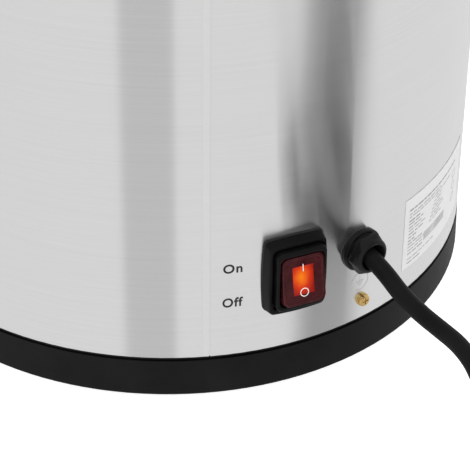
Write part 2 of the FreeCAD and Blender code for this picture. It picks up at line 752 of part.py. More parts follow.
def rating_label():
    sheet = ring(SHELL_RADIUS + 0.16, SHELL_RADIUS + 0.02, LABEL_BOTTOM, LABEL_TOP)
    middle = 0.5 * (LABEL_START + LABEL_END)
    half = SHELL_RADIUS * math.sin(math.radians(0.5 * (LABEL_END - LABEL_START)))
    return sheet.common(on_wall(Part.makeBox(2 * half, 200, 60, Vector(-half, -100, -40)), middle, 60))


# ---------------------------------------------------------------- wiring

def terminal_block():
    body = block(-22, 22, 88, 106, LEDGE_BOTTOM, 27)
    for x in (-14, 0, 14):
        body = body.cut(disc(2.4, 18, 27, x, 97))
    return body


def wiring():
    """Cord cores to the terminal block, and leads to the switch, thermostat, element and bonding nut."""
    wires = [
        [(-17, 126.8, 69), (-18, 118, 66), (-16, 106, 52), (-14, 98, 40), (-14, 97, 19)],
        [(-11, 126.8, 70), (-9, 117, 68), (-3, 105, 54), (0, 98, 40), (0, 97, 19)],
        [(14, 97, 19), (14, 98, 38), (14.5, 103, 52), (14.4, 110, 60), (11.3, 118.5, 63.4)],
        [(22.2, 117.4, 79.6), (24, 106, 74), (22, 84, 60), (16, 50, 50), (12, 0, 46),
         (8, -50, 50), (2, -84, 58), (0, -104.8, 62.9)],
        [(0, -104.8, 80.9), (-6, -90, 74), (-20, -60, 62), (-38, -20, 56), (-46, 30, 60),
         (-46, 56, 66), (-47.0, 71.3, 71.8)],
    ]
    return Part.makeCompound([tube(route, 1.2) for route in wires])


def cord_coil():
    profile = [
        (COIL_INNER, 0, 4.4), (COIL_OUTER, 0, 4.4), (COIL_OUTER, COIL_HEIGHT - 4.0, 4.2),
        (COIL_OUTER - 4.6, COIL_HEIGHT, 4.2), (COIL_INNER + 4.6, COIL_HEIGHT, 4.2),
        (COIL_INNER, COIL_HEIGHT - 4.0, 4.2),
    ]
    coil = turned(profile)
    coil.translate(COIL_CENTRE)
    return coil


def plug_frame():
    """The plug's back end, and its direction, from the last run of its lead."""
    back = Vector(*PLUG_ROUTE[-1])
    ahead = (back - Vector(*PLUG_ROUTE[-2])).normalize()
    return back, ahead


def along_plug(shape):
    back, ahead = plug_frame()
    placed = shape.copy()
    placed.Placement = FreeCAD.Placement(back, FreeCAD.Rotation(UP, ahead)).multiply(placed.Placement)
    return placed


def plug_body():
    profile = [
        (0, 0, 0), (6.2, 0, 0.8), (8.2, 16, 3), (13.5, 20, 3), (15.5, 34, 3), (19.0, 37, 0.8),
        (19.0, 50, 0.8), (0, 50, 0),
    ]
    body = turned(profile)
    for y in (-9.5, 9.5):
        body = body.cut(Part.makeCylinder(2.4, 10, Vector(0, y, 41)))
    return along_plug(body)


def plug_pins():
    pins = []
    for y in (-9.5, 9.5):
        pin = Part.makeCylinder(2.4, 28, Vector(0, y, 41))
        tip = [edge for edge in pin.Edges if abs(edge.CenterOfMass.z - 69) < 1e-6]
        pins.append(along_plug(pin.makeFillet(1.6, tip)))
    return Part.makeCompound(pins)


# ---------------------------------------------------------------- handles

def handle(angle):
    """A bowed grip on two legs, whose ends are cut to the shell's curve."""
    outer = [(-56, -16, 0), (56, -16, 0), (53, 38, 14), (-53, 38, 14)]
    inner = [(-38, -22, 0), (38, -22, 0), (35, 25, 9), (-35, 25, 9)]
    loop = Part.Face(rounded_outline(outer, lambda u, w: Vector(u, -9, w))).extrude(Vector(0, 18, 0))
    gap = Part.Face(rounded_outline(inner, lambda u, w: Vector(u, -12, w))).extrude(Vector(0, 24, 0))
    grip = loop.cut(gap)
    sides = [e for e in grip.Edges if abs(abs(e.CenterOfMass.y) - 9) < 1e-6]
    long_edges = [e for e in sides if e.CenterOfMass.z > -15.9]
    grip = grip.makeFillet(3.0, long_edges)
    for u in (-HANDLE_SCREW_U, HANDLE_SCREW_U):
        grip = grip.cut(post(2.5, -20, 10, u))
    return on_wall(grip, angle, HANDLE_HEIGHT).cut(inside_wall(SHELL_RADIUS + 0.02))


def handle_screws():
    """Pan screws from inside the shell into the handle's two legs."""
    screws = []
    for angle in HANDLE_ANGLES.values():
        for u in (-HANDLE_SCREW_U, HANDLE_SCREW_U):
            screw = post(4.4, -12.2, -9.6, u).fuse(post(2.45, -9.6, 8.0, u))
            screws.append(on_wall(screw.removeSplitter(), angle, HANDLE_HEIGHT))
    return Part.makeCompound(screws)


# ---------------------------------------------------------------- output

def all_nodes():
    nodes = {
        "outer_shell": outer_shell(),
        "base_ring": base_ring(),
        "base_plate": base_plate(),
        "base_screws": base_screws(),
        "rubber_feet": rubber_feet(),
        "foot_screws": foot_screws(),
        "foot_nuts": foot_nuts(),
        "water_well": water_well(),
        "inner_pot": inner_pot(),
        "lid_rear": lid_rear(),
        "lid_front": lid_front(),
        "hinge_leaf_rear": hinge_leaf(1),
        "hinge_leaf_front": hinge_leaf(-1),
        "hinge_pin": hinge_pin(),
        "hinge_rivets_rear": hinge_rivets(1),
        "hinge_rivets_front": hinge_rivets(-1),
        "lid_knob": lid_knob(),
        "lid_knob_screw": lid_knob_screw(),
        "insulation_blanket": insulation_blanket(),
        "heat_spreader": heat_spreader(),
        "heating_element": heating_element(),
        "well_stud": well_stud(),
        "clamp_bar": clamp_bar(),
        "clamp_nut": clamp_nut(),
        "thermal_cutout": thermal_cutout(),
        "thermostat_body": thermostat_body(),
        "thermostat_screws": thermostat_screws(),
        "thermostat_bulb": thermostat_bulb(),
        "thermostat_shaft": thermostat_shaft(),
        "control_knob": control_knob(),
        "knob_pointer": knob_pointer(),
        "dial_plate": dial_plate(),
        "lamp_lens": lamp_lens(),
        "lamp_body": lamp_body(),
        "switch_gasket": switch_gasket(),
        "switch_frame": switch_frame(),
        "switch_bezel": switch_bezel(),
        "switch_body": switch_body(),
        "switch_terminals": switch_terminals(),
        "switch_rocker": switch_rocker(),
        "switch_membrane": switch_membrane(),
        "switch_lens": switch_lens(),
        "gland_body": gland_body(),
        "gland_nut": gland_nut(),
        "gland_seal": gland_seal(),
        "gland_locknut": gland_locknut(),
        "cord_tail": cord_tail(),
        "earth_screw": earth_screw(),
        "earth_nut_and_washers": earth_nut_and_washers(),
        "rating_label": rating_label(),
        "terminal_block": terminal_block(),
        "wiring": wiring(),
        "handle_screws": handle_screws(),
        "power_cord": tube(CORD_ROUTE, CORD_DIAMETER / 2, "power_cord"),
        "cord_coil": cord_coil(),
        "plug_lead": tube(PLUG_ROUTE, CORD_DIAMETER / 2, "plug_lead"),
        "plug_body": plug_body(),
        "plug_pins": plug_pins(),
    }
    for name, angle in HANDLE_ANGLES.items():
        nodes[name] = handle(angle)
    return nodes


def main():
    os.makedirs("parts", exist_ok=True)
    for name, shape in all_nodes().items():
        if not shape.isValid() or not shape.Solids:
            print(f"{name}: not a valid solid")
        shape.exportStep(f"parts/{name}.step")


main()
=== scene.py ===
"""Soup kettle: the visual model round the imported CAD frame.

Helper functions take millimetres and degrees, and every mesh is made in metres in the row frame.
Wall axes: u runs along the casing's face (positive to the right seen from outside), v is up and w is
outward from the casing's face.
"""

import json
import math
import random

import bmesh
import bpy
from mathutils import Matrix, Vector
from mathutils.geometry import tessellate_polygon


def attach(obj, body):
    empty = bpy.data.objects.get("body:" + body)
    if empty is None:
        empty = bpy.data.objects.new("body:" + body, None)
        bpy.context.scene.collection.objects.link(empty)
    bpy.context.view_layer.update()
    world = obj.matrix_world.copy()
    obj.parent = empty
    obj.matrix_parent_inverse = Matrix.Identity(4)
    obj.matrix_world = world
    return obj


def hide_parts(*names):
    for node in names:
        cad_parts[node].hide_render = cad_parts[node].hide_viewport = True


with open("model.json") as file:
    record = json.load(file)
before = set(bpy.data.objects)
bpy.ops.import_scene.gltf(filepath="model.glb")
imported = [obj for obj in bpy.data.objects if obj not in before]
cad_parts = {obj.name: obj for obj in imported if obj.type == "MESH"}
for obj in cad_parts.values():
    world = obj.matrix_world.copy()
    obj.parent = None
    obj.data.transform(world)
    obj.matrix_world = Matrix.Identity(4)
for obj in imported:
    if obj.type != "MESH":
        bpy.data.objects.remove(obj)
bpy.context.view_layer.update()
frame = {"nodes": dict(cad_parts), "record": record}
for imported in list(bpy.data.materials):
    bpy.data.materials.remove(imported)
MM = 0.001

# Dimensions that scene.py shares with part.py, in millimetres and degrees.
SHELL_RADIUS = 155.0
SHELL_BOTTOM = 26.5
SHELL_TOP = 300.0
SEAM_ANGLE = 66.55
SWITCH_ANGLE, SWITCH_HEIGHT = 82.0, 71.5
ROCKER_PIVOT, ROCKER_TILT, ROCKER_FACE = 6.0, 10.0, 9.7
GLAND_ANGLE, GLAND_HEIGHT = 96.2, 69.0
KNOB_ANGLE, KNOB_HEIGHT = -90.0, 72.0
LABEL_START, LABEL_END, LABEL_BOTTOM, LABEL_TOP = 107.8, 133.7, 39.7, 81.8
CORD_DIAMETER = 9.0


# ---------------------------------------------------------------- camera

# The camera's place in metres, its directions in degrees, and its lens and sensor width in millimetres.
CAMERA_PLACE = (0.4788, 0.8293, 0.6642)
CAMERA_HEADING, CAMERA_PITCH, CAMERA_ROLL = 237.91, 35.14, 0.63
CAMERA_LENS, CAMERA_SENSOR = 161.87, 36.0


def make_camera():
    heading, pitch, roll = (math.radians(a) for a in (CAMERA_HEADING, CAMERA_PITCH, CAMERA_ROLL))
    reach = math.cos(pitch)
    forward = Vector((math.cos(heading) * reach, math.sin(heading) * reach, -math.sin(pitch)))
    level = Vector((math.sin(heading), -math.cos(heading), 0))
    upward = level.cross(forward)
    right = level * math.cos(roll) + upward * math.sin(roll)
    top = upward * math.cos(roll) - level * math.sin(roll)
    data = bpy.data.cameras.new("camera")
    data.sensor_width = CAMERA_SENSOR
    data.lens = CAMERA_LENS
    data.clip_start, data.clip_end = 0.05, 20.0
    camera = bpy.data.objects.new("camera", data)
    axes = Matrix((right, top, -forward)).transposed().to_4x4()
    camera.matrix_world = Matrix.Translation(CAMERA_PLACE) @ axes
    bpy.context.scene.collection.objects.link(camera)
    bpy.context.scene.camera = camera


make_camera()


# ---------------------------------------------------------------- cord

# The same points as part.py: gland to floor, and the top of the coil to the plug.
CORD_ROUTE = [
    (-17.0, 157.0, 69.2), (-18.6, 170.2, 66.0), (-20.2, 184.0, 59.0), (-21.8, 198.0, 56.0),
    (-23.4, 212.0, 55.0), (-24.4, 226.0, 54.6), (-23.4, 240.0, 51.4), (-19.8, 253.8, 43.4),
    (-15.0, 266.6, 32.6), (-10.8, 279.2, 21.6), (-8.0, 291.8, 12.4), (-7.4, 304.4, 6.6),
    (-9.2, 316.5, 4.5), (-12.6, 328.4, 4.5), (-16.9, 340.0, 4.5),
]
PLUG_ROUTE = [
    (-41.7, 364.9, 12.4), (-57.9, 373.2, 13.6), (-75.1, 379.1, 15.0), (-92.9, 382.9, 17.4),
    (-111.0, 385.1, 19.0), (-126.1, 386.2, 19.0),
]
COIL_CENTRE = (-72.0, 320.0)
COIL_START_ANGLE = 20.0
COIL_TURNS = 4.1
# Turns wound, radius and height of the cord's centre: three turns on the floor, and two lying on them.
COIL_STAGES = [
    (0.0, 58.6, 4.5), (0.78, 58.6, 4.5), (1.0, 49.8, 4.5), (1.78, 49.8, 4.5), (2.0, 41.0, 4.5),
    (2.74, 41.0, 4.5), (3.0, 45.4, 12.5), (3.76, 45.4, 12.5), (3.88, 49.8, 13.8), (4.0, 54.2, 12.5),
    (5.0, 54.2, 12.4),
]
POINTS_PER_TURN = 18


def between_stages(turns):
    """The coil's radius and height after so many turns."""
    for (t0, r0, z0), (t1, r1, z1) in zip(COIL_STAGES, COIL_STAGES[1:]):
        if turns <= t1:
            share = (turns - t0) / (t1 - t0)
            return r0 + (r1 - r0) * share, z0 + (z1 - z0) * share
    return COIL_STAGES[-1][1:]


def coil_points():
    steps = round(COIL_TURNS * POINTS_PER_TURN)
    points = []
    for i in range(1, steps):
        turns = COIL_TURNS * i / steps
        radius, height = between_stages(turns)
        angle = math.radians(COIL_START_ANGLE + 360 * turns)
        # The control points stand a little outside the turn, because the spline cuts inside them.
        radius /= math.cos(math.pi / POINTS_PER_TURN)
        x, y = COIL_CENTRE[0] + radius * math.cos(angle), COIL_CENTRE[1] + radius * math.sin(angle)
        points.append((x, y, height))
    return points


def make_cord():
    data = bpy.data.curves.new("mains_cord", "CURVE")
    data.dimensions = "3D"
    data.bevel_depth = CORD_DIAMETER / 2 * MM
    data.bevel_resolution = 8
    data.resolution_u = 10
    data.use_fill_caps = True
    points = CORD_ROUTE + coil_points() + PLUG_ROUTE
    spline = data.splines.new("NURBS")
    spline.points.add(len(points) - 1)
    for point, at in zip(spline.points, points):
        point.co = (at[0] * MM, at[1] * MM, at[2] * MM, 1)
    spline.order_u = 3
    spline.use_endpoint_u = True
    cord = bpy.data.objects.new("mains_cord", data)
    bpy.context.scene.collection.objects.link(cord)
    return cord


cord = make_cord()


# ---------------------------------------------------------------- materials

class Look:
    """A Principled material, with short calls for the nodes that vary it over the surface."""

    def __init__(self, name, color, roughness, **sockets):
        self.material = bpy.data.materials.new(name)
        self.material.use_nodes = True
        self.tree = self.material.node_tree
        self.shader = self.tree.nodes["Principled BSDF"]
        self.put("Base Color", color)
        self.put("Roughness", roughness)
        for socket, value in sockets.items():
            self.put(socket.replace("_", " "), value)
        self.place = self.node("ShaderNodeTexCoord").outputs["Object"]

    def put(self, socket, value):
        target = self.shader.inputs[socket]
        if isinstance(value, bpy.types.NodeSocket):
            self.tree.links.new(value, target)
        elif isinstance(value, (tuple, list)):
            target.default_value = (*value, 1.0) if len(value) == 3 else value
        else:
            target.default_value = value

    def node(self, kind, inputs=(), **settings):
        made = self.tree.nodes.new(kind)
        for key, value in settings.items():
            setattr(made, key, value)
        for key, value in dict(inputs).items():
            if isinstance(value, bpy.types.NodeSocket):
                self.tree.links.new(value, made.inputs[key])
            else:
                made.inputs[key].default_value = value
        return made

    def scaled(self, x, y, z):
        return self.node("ShaderNodeMapping", {"Vector": self.place, "Scale": (x, y, z)}).outputs["Vector"]

    def noise(self, vector, scale=1.0, detail=2.0, roughness=0.5):
        inputs = {"Vector": vector, "Scale": scale, "Detail": detail, "Roughness": roughness}
        return self.node("ShaderNodeTexNoise", inputs).outputs["Fac"]

    def spread(self, value, low, high, out_low, out_high):
        """value mapped from low..high to out_low..out_high."""
        inputs = {"Value": value, "From Min": low, "From Max": high, "To Min": out_low, "To Max": out_high}
        return self.node("ShaderNodeMapRange", inputs).outputs["Result"]

    def math(self, operation, a, b=0.0):
        return self.node("ShaderNodeMath", {0: a, 1: b}, operation=operation).outputs["Value"]

    def colors(self, factor, first, second):
        mix = self.node("ShaderNodeMix", {0: factor}, data_type="RGBA")
        for socket, value in ((mix.inputs[6], first), (mix.inputs[7], second)):
            if isinstance(value, bpy.types.NodeSocket):
                self.tree.links.new(value, socket)
            else:
                socket.default_value = (*value, 1.0)
        return mix.outputs[2]

    def ramp(self, factor, stops):
        made = self.node("ShaderNodeValToRGB", {"Fac": factor})
        elements = made.color_ramp.elements
        while len(elements) < len(stops):
            elements.new(1.0)
        for element, (position, color) in zip(elements, stops):
            element.position = position
            element.color = (*color, 1.0)
        return made.outputs["Color"]

    def run_round_axis(self):
        """Turns the brushed highlight to follow the kettle's axis."""
        made = self.node("ShaderNodeTangent", direction_type="RADIAL", axis="Z")
        self.put("Tangent", made.outputs["Tangent"])

    def bump(self, height, distance, strength=1.0):
        made = self.node("ShaderNodeBump", {"Height": height, "Distance": distance, "Strength": strength})
        self.put("Normal", made.outputs["Normal"])


def grey(value):
    return (value, value, value)


def brushed(name, scale, color, roughness, anisotropic, spread=0.05, **sockets):
    """Steel with a directional grain: scale is the noise scale along X, Y and Z, per metre."""
    look = Look(name, grey(color), roughness, Metallic=1.0, Anisotropic=anisotropic, **sockets)
    fine = look.noise(look.scaled(*scale), 1.0, 3.0, 0.6)
    coarse = look.noise(look.scaled(*[s * 0.22 for s in scale]), 1.0, 2.0)
    smudge = look.noise(look.place, 14.0, 3.0, 0.55)
    grain = look.math("ADD", look.math("MULTIPLY", fine, 0.82), look.math("MULTIPLY", coarse, 0.18))
    look.put("Base Color", look.colors(look.spread(grain, 0.3, 0.7, 0.0, 1.0),
                                       grey(color - spread), grey(color + spread)))
    uneven = look.math("ADD", look.spread(grain, 0.3, 0.7, -0.02, 0.02),
                       look.spread(smudge, 0.35, 0.65, -0.02, 0.02))
    look.put("Roughness", look.math("ADD", uneven, roughness))
    look.bump(grain, 0.000002, 0.3)
    return look


def shell_steel():
    look = brushed("shell_steel", (12, 12, 2600), 0.80, 0.17, 1.0, 0.022, Anisotropic_Rotation=0.25)
    look.run_round_axis()
    return look


def weld_steel():
    look = brushed("weld_steel", (30, 30, 2200), 0.83, 0.24, 0.95, 0.03, Anisotropic_Rotation=0.25)
    look.run_round_axis()
    return look


def vessel_steel():
    """Drawn steel: fine rings round the axis on the flats and a soft satin on the walls."""
    look = Look("vessel_steel", grey(0.8), 0.27, Metallic=1.0, Anisotropic=0.5)
    parts = look.node("ShaderNodeSeparateXYZ", {"Vector": look.place}).outputs
    radius = look.math("SQRT", look.math("ADD", look.math("MULTIPLY", parts["X"], parts["X"]),
                                         look.math("MULTIPLY", parts["Y"], parts["Y"])))
    rings = look.node("ShaderNodeCombineXYZ", {
        "X": look.math("MULTIPLY", radius, 2600.0), "Y": look.math("MULTIPLY", parts["Z"], 2600.0),
        "Z": look.math("MULTIPLY", parts["X"], 9.0)}).outputs["Vector"]
    grain = look.noise(rings, 1.0, 2.0, 0.6)
    smudge = look.noise(look.place, 11.0, 3.0)
    look.put("Base Color", look.colors(look.spread(grain, 0.3, 0.7, 0.0, 1.0), grey(0.74), grey(0.86)))
    look.put("Roughness", look.math("ADD", look.spread(grain, 0.3, 0.7, 0.21, 0.30),
                                    look.spread(smudge, 0.35, 0.65, -0.03, 0.04)))
    look.run_round_axis()
    look.bump(grain, 0.00001, 0.5)
    return look


def moulded(name, color, roughness, grain_scale=2600.0, depth=0.00004, variation=0.25, **sockets):
    """Moulded plastic or rubber: a fine spark-eroded grain, slightly uneven gloss and a trace of dust."""
    look = Look(name, color, roughness, **sockets)
    grain = look.noise(look.place, grain_scale, 3.0, 0.6)
    uneven = look.noise(look.place, 38.0, 4.0, 0.6)
    darker = tuple(c * (1 - variation) for c in color)
    lighter = tuple(c * (1 + variation) + 0.002 for c in color)
    look.put("Base Color", look.colors(look.spread(uneven, 0.3, 0.7, 0.0, 1.0), darker, lighter))
    look.put("Roughness", look.math("ADD", look.spread(uneven, 0.3, 0.7, roughness - 0.05, roughness + 0.05),
                                    look.spread(grain, 0.3, 0.7, -0.03, 0.03)))
    look.bump(grain, depth, 0.5)
    return look


def plated(name, color, roughness, scale=900.0, **sockets):
    """Plated or turned metal with fine random scratches and dulling."""
    look = Look(name, color, roughness, Metallic=1.0, **sockets)
    dull = look.noise(look.place, scale, 4.0, 0.65)
    darker = tuple(c * 0.82 for c in color)
    look.put("Base Color", look.colors(look.spread(dull, 0.35, 0.65, 0.0, 1.0), darker, color))
    look.put("Roughness", look.spread(dull, 0.3, 0.7, roughness - 0.06, roughness + 0.1))
    look.bump(dull, 0.00002, 0.4)
    return look


def insulation():
    look = Look("insulation", (0.75, 0.68, 0.5), 0.95, Sheen_Weight=0.4)
    fibre = look.noise(look.scaled(240, 240, 900), 1.0, 5.0, 0.75)
    clumps = look.noise(look.place, 60.0, 4.0, 0.6)
    look.put("Base Color", look.colors(look.spread(fibre, 0.3, 0.7, 0.0, 1.0),
                                       (0.52, 0.45, 0.28), (0.84, 0.78, 0.6)))
    look.bump(look.math("ADD", fibre, clumps), 0.0008, 0.8)
    return look


def oxidised():
    look = Look("element_steel", (0.3, 0.3, 0.27), 0.5, Metallic=0.85)
    blotch = look.noise(look.place, 90.0, 5.0, 0.65)
    look.put("Base Color", look.ramp(blotch, [(0.3, (0.16, 0.15, 0.13)), (0.5, (0.34, 0.33, 0.3)),
                                              (0.7, (0.44, 0.36, 0.26))]))
    look.put("Roughness", look.spread(blotch, 0.3, 0.7, 0.38, 0.62))
    look.bump(look.noise(look.place, 1500.0, 3.0), 0.00003, 0.5)
    return look


def switch_cover():
    """The splash cover: dark red, slightly cloudy film over the rocker."""
    look = Look("rocker_red", (0.04, 0.004, 0.006), 0.24, Specular_IOR_Level=0.2)
    cloud = look.noise(look.place, 160.0, 3.0, 0.5)
    look.put("Base Color", look.colors(look.spread(cloud, 0.3, 0.7, 0.0, 1.0), (0.030, 0.0025, 0.004),
                                       (0.052, 0.005, 0.007)))
    look.put("Roughness", look.spread(cloud, 0.3, 0.7, 0.18, 0.30))
    look.bump(look.noise(look.place, 900.0, 2.0), 0.00003, 0.4)
    return look


def glow(centre, half_u, half_v):
    """Lit from behind: yellow-orange over the neon lamp, and deep red towards the edges."""
    look = Look("rocker_glow", (0.08, 0.004, 0.002), 0.3, Specular_IOR_Level=0.15)
    offset = look.node("ShaderNodeVectorMath", {0: look.place, 1: centre}, operation="SUBTRACT")
    parts = look.node("ShaderNodeSeparateXYZ", {"Vector": offset.outputs["Vector"]}).outputs
    across = look.math("MULTIPLY", parts["X"], 1.0 / (half_u * MM))
    upward = look.math("MULTIPLY", parts["Z"], 1.0 / (half_v * MM))
    square = look.math("ADD", look.math("MULTIPLY", across, across), look.math("MULTIPLY", upward, upward))
    distance = look.math("SQRT", square)
    cloud = look.spread(look.noise(look.place, 420.0, 2.0), 0.3, 0.7, -0.05, 0.05)
    reach = look.math("ADD", distance, cloud)
    tint = look.ramp(reach, [(0.0, (0.88, 0.23, 0.004)), (0.3, (0.84, 0.13, 0.003)),
                             (0.62, (0.68, 0.035, 0.002)), (1.0, (0.30, 0.009, 0.003))])
    look.put("Base Color", look.colors(cloud, (0.06, 0.003, 0.002), (0.09, 0.006, 0.002)))
    look.put("Emission Color", tint)
    look.put("Emission Strength", look.spread(reach, 0.0, 1.1, 1.0, 0.72))
    return look


def label_film():
    look = Look("label", grey(0.68), 0.4, Specular_IOR_Level=0.4)
    fleck = look.noise(look.place, 1800.0, 2.0, 0.6)
    look.put("Base Color", look.colors(look.spread(fleck, 0.3, 0.7, 0.0, 1.0), grey(0.64), grey(0.70)))
    look.put("Roughness", look.spread(look.noise(look.place, 60.0, 3.0), 0.3, 0.7, 0.34, 0.46))
    look.bump(fleck, 0.00001, 0.4)
    return look


def printed(name, color, roughness=0.5):
    """Screen-printed ink: nearly even, with a slightly rough, patchy cover."""
    look = Look(name, color, roughness)
    patch = look.noise(look.place, 2400.0, 3.0, 0.6)
    darker = tuple(c * 0.85 for c in color)
    lighter = tuple(min(1.0, c * 1.15 + 0.004) for c in color)
    look.put("Base Color", look.colors(look.spread(patch, 0.35, 0.65, 0.0, 1.0), darker, lighter))
    look.put("Roughness", look.spread(patch, 0.3, 0.7, roughness - 0.06, roughness + 0.06))
    return look


def glass_green():
    look = Look("lamp_green", (0.03, 0.42, 0.09), 0.12, Transmission_Weight=0.35, IOR=1.5)
    ribs = look.node("ShaderNodeTexWave", {"Vector": look.place, "Scale": 420.0}, wave_type="RINGS")
    look.put("Base Color", look.colors(ribs.outputs["Fac"], (0.02, 0.3, 0.06), (0.05, 0.55, 0.14)))
    look.put("Roughness", look.spread(look.noise(look.place, 300.0, 3.0), 0.3, 0.7, 0.08, 0.2))
    return look


def glazed():
    look = Look("ceramic", (0.85, 0.84, 0.8), 0.25, Coat_Weight=0.5, Coat_Roughness=0.1)
    speck = look.noise(look.place, 700.0, 3.0, 0.7)
    look.put("Base Color", look.colors(look.spread(speck, 0.35, 0.65, 0.0, 1.0),
                                       (0.76, 0.74, 0.68), (0.88, 0.87, 0.83)))
    look.put("Roughness", look.spread(speck, 0.3, 0.7, 0.2, 0.35))
    return look


def wall_point(angle, height, u, v, w):
    """Wall axes in millimetres to a row-frame point in metres."""
    a = math.radians(angle)
    outward, along = Vector((math.cos(a), math.sin(a), 0)), Vector((-math.sin(a), math.cos(a), 0))
    return (outward * (SHELL_RADIUS + w) + along * u + Vector((0, 0, height + v))) * MM


def tilted(u, v, w):
    """A point on the rocker, given flat, turned about its pivot with the upper half pressed in."""
    t = math.radians(-ROCKER_TILT)
    dw = w - ROCKER_PIVOT
    return u, v * math.cos(t) - dw * math.sin(t), ROCKER_PIVOT + v * math.sin(t) + dw * math.cos(t)


# The lamp behind the lens: the middle of its glow, and half the width and height that it lights.
GLOW_U, GLOW_V = 6.8, 9.6
GLOW_CENTRE = wall_point(SWITCH_ANGLE, SWITCH_HEIGHT, *tilted(-1.0, 0.9, 10.6))

LOOKS = {look.material.name: look for look in (
    shell_steel(), weld_steel(), vessel_steel(), insulation(), oxidised(), switch_cover(),
    glow(GLOW_CENTRE, GLOW_U, GLOW_V), label_film(), glass_green(), glazed(),
    moulded("base_plastic", (0.0045, 0.0045, 0.0048), 0.5, 1900.0, 0.00006, Specular_IOR_Level=0.12),
    moulded("foot_rubber", (0.02, 0.02, 0.02), 0.75, 900.0, 0.0001, Specular_IOR_Level=0.25),
    moulded("phenolic", (0.008, 0.008, 0.008), 0.24, 1500.0, 0.00002, Specular_IOR_Level=0.4),
    moulded("control_plastic", (0.62, 0.58, 0.5), 0.5, 1700.0, 0.00004, 0.08),
    moulded("switch_black", (0.0035, 0.0035, 0.0037), 0.4, 2200.0, 0.00004, Specular_IOR_Level=0.1),
    moulded("switch_nylon", (0.018, 0.018, 0.018), 0.5, 1900.0, 0.00004),
    moulded("gland_black", (0.0055, 0.0055, 0.006), 0.36, 2600.0, 0.00003, Specular_IOR_Level=0.18),
    moulded("cord_rubber", (0.006, 0.006, 0.0065), 0.5, 1300.0, 0.00004, Specular_IOR_Level=0.10),
    moulded("plug_black", (0.009, 0.009, 0.0095), 0.5, 1600.0, 0.00006, Specular_IOR_Level=0.2),
    moulded("dial", (0.012, 0.012, 0.012), 0.36, 1800.0, 0.00002, Specular_IOR_Level=0.3),
    moulded("wire", (0.33, 0.15, 0.07), 0.38, 1200.0, 0.00002, 0.15),
    plated("plate_steel", (0.56, 0.57, 0.58), 0.38, 260.0),
    plated("screw_steel", (0.68, 0.68, 0.67), 0.27),
    plated("aluminium", (0.78, 0.78, 0.8), 0.34, 320.0),
    plated("copper", (0.78, 0.42, 0.27), 0.3, 500.0),
    plated("pin_plated", (0.76, 0.75, 0.72), 0.2, 700.0),
    plated("brass", (0.80, 0.56, 0.22), 0.24, 1400.0),
    printed("pointer_white", grey(0.82)),
    printed("ink_black", grey(0.006)),
    printed("ink_grey", grey(0.30)),
    printed("ink_pale", grey(0.40)),
    printed("ink_faint", grey(0.5)),
    printed("mark_white", (0.86, 0.84, 0.82), 0.4),
)}

# CAD nodes that keep their own shape take the look of the slot that the record gives them.
SLOT_OF = {part["node"]: part["material_slot"] for part in frame["record"]["subparts"]}
for name, node in frame["nodes"].items():
    node.data.materials.clear()
    node.data.materials.append(LOOKS[SLOT_OF[name]].material)


# ---------------------------------------------------------------- mesh helpers

def finish_piece(mesh, name, look, body, replaced=(), sharp=35.0):
    """Wraps a mesh in metres as a piece that rides on a body."""
    mesh.validate()
    bm = bmesh.new()
    bm.from_mesh(mesh)
    bmesh.ops.recalc_face_normals(bm, faces=bm.faces)
    bm.to_mesh(mesh)
    bm.free()
    mesh.polygons.foreach_set("use_smooth", [True] * len(mesh.polygons))
    mesh.set_sharp_from_angle(angle=math.radians(sharp))
    mesh.materials.append(LOOKS[look].material)
    piece = bpy.data.objects.new(name, mesh)
    bpy.context.scene.collection.objects.link(piece)
    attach(piece, body)
    if replaced:
        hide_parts(*replaced)
    return piece


def new_mesh(name, points, faces):
    mesh = bpy.data.meshes.new(name)
    mesh.from_pydata([tuple(p) for p in points], [], faces)
    return mesh


def rounded_loop(half_u, half_v, corner, bulge=0.0, side=8, arc=6):
    """Points round a rectangle with rounded corners and slightly bowed sides."""
    points = []
    centres = [(1, 1), (-1, 1), (-1, -1), (1, -1)]
    for k, (su, sv) in enumerate(centres):
        for j in range(arc + 1):
            angle = math.radians(90 * (k + j / arc))
            points.append((su * (half_u - corner) + corner * math.cos(angle),
                           sv * (half_v - corner) + corner * math.sin(angle)))
        last = points[-1]
        nu, nv = centres[(k + 1) % 4]
        start = math.radians(90 * (k + 1))
        ahead = (nu * (half_u - corner) + corner * math.cos(start),
                 nv * (half_v - corner) + corner * math.sin(start))
        for j in range(1, side):
            points.append(tuple(a + (b - a) * j / side for a, b in zip(last, ahead)))
    return [(u + bulge * u / half_u * (1 - (v / half_v) ** 2),
             v + bulge * v / half_v * (1 - (u / half_u) ** 2)) for u, v in points]


def ring_faces(loops, count, closed):
    """Quads between neighbouring loops of count points each; closed joins the last loop to the first."""
    faces = []
    for k in range(loops if closed else loops - 1):
        a, b = k * count, (k + 1) % loops * count
        faces += [(a + i, a + (i + 1) % count, b + (i + 1) % count, b + i) for i in range(count)]
    return faces


def lofted(name, loops, place, closed=True):
    """A mesh through loops of (u, v, w) points. An open one is capped at both ends."""
    count = len(loops[0])
    points = [place(*p) for loop in loops for p in loop]
    faces = ring_faces(len(loops), count, closed)
    if not closed:
        faces += [tuple(range(count)), tuple(range((len(loops) - 1) * count, len(loops) * count))]
    return new_mesh(name, points, faces)


def on_switch(u, v, w):
    return wall_point(SWITCH_ANGLE, SWITCH_HEIGHT, u, v, w)


def on_rocker(u, v, w):
    """The rocker's face rises from its middle line to both ends, and is tilted to On."""
    return on_switch(*tilted(u, v, w + abs(v) * math.tan(math.radians(2.5))))


def on_shell(angle, height, lift):
    """A point on the casing's curved face, lifted from it, in metres."""
    a = math.radians(angle)
    radius = SHELL_RADIUS + lift
    return Vector((radius * math.cos(a), radius * math.sin(a), height)) * MM


def curved_place(angle, height):
    """Places (u, v, w) with u as arc length round the casing from angle, v above height."""
    return lambda u, v, w: on_shell(angle + math.degrees(u / SHELL_RADIUS), height + v, w)


# ---------------------------------------------------------------- mains switch

